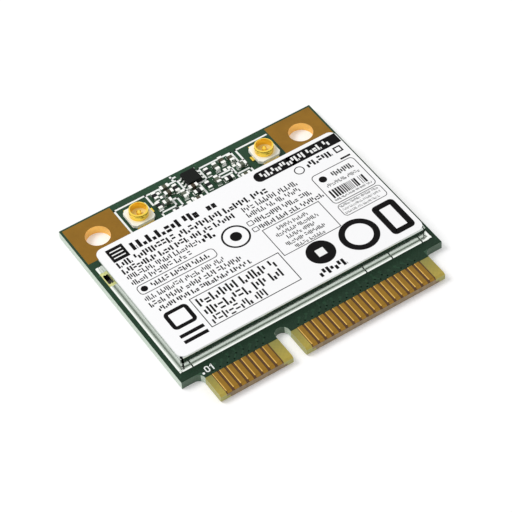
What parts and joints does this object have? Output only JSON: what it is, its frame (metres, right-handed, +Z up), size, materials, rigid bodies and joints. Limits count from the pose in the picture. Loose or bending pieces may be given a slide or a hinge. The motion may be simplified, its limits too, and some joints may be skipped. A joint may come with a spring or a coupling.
{
  "type": "laptop wifi card",
  "caption": "Half-size mini card: circuit board with a keyed edge connector, labelled shield can, coaxial antenna sockets and plated screw holes.",
  "frame": {"origin": "under the middle of the board, at the level of its lowest copper", "axes": "+X along the row of contacts, the short row at -X; +Y towards the screw holes; +Z up through the shield can"},
  "size_m": [0.03, 0.0268, 0.0025],
  "materials": {
    "laminate": "bare glass-fibre laminate",
    "solder_mask": "glossy solder mask",
    "gold_plating": "gold-plated copper",
    "tin_plating": "bright tin",
    "can_sheet": "bright rolled sheet",
    "label_paper": "matt white label",
    "socket_plastic": "moulded, satin",
    "chip_black": "moulded epoxy",
    "capacitor_ceramic": "satin ceramic",
    "resistor_glaze": "glazed",
    "inductor_ceramic": "satin ceramic",
    "crystal_ceramic": "satin ceramic"
  },
  "bodies": {
    "root": {"circuit_board": "laminate", "solder_mask_top": "solder_mask", "solder_mask_bottom": "solder_mask", "screw_pad_left": "gold_plating", "screw_pad_right": "gold_plating", "contacts_top_short": "gold_plating", "contacts_top_long": "gold_plating", "contacts_bottom_short": "gold_plating", "contacts_bottom_long": "gold_plating", "ground_strip": "tin_plating", "slot_pad": "gold_plating", "lands": "tin_plating", "test_pads": "gold_plating", "shield_can": "can_sheet", "label": "label_paper", "socket_base_left": "socket_plastic", "socket_base_right": "socket_plastic", "socket_ring_left": "gold_plating", "socket_ring_right": "gold_plating", "socket_pin_left": "gold_plating", "socket_pin_right": "gold_plating", "switch_chip": "chip_black", "switch_chip_leads": "tin_plating", "capacitor_bodies": "capacitor_ceramic", "capacitor_ends": "tin_plating", "resistor_bodies": "resistor_glaze", "resistor_ends": "tin_plating", "inductor_bodies": "inductor_ceramic", "inductor_ends": "tin_plating", "wifi_chip": "chip_black", "wifi_chip_contacts": "tin_plating", "front_end_chip": "chip_black", "front_end_contacts": "tin_plating", "crystal_base": "crystal_ceramic", "crystal_lid": "tin_plating", "memory_chip": "chip_black", "memory_chip_contacts": "tin_plating", "power_inductor": "inductor_ceramic", "power_inductor_ends": "tin_plating", "inner_capacitor_bodies": "capacitor_ceramic", "inner_capacitor_ends": "tin_plating", "inner_resistor_bodies": "resistor_glaze", "inner_resistor_ends": "tin_plating"}
  },
  "joints": []
}
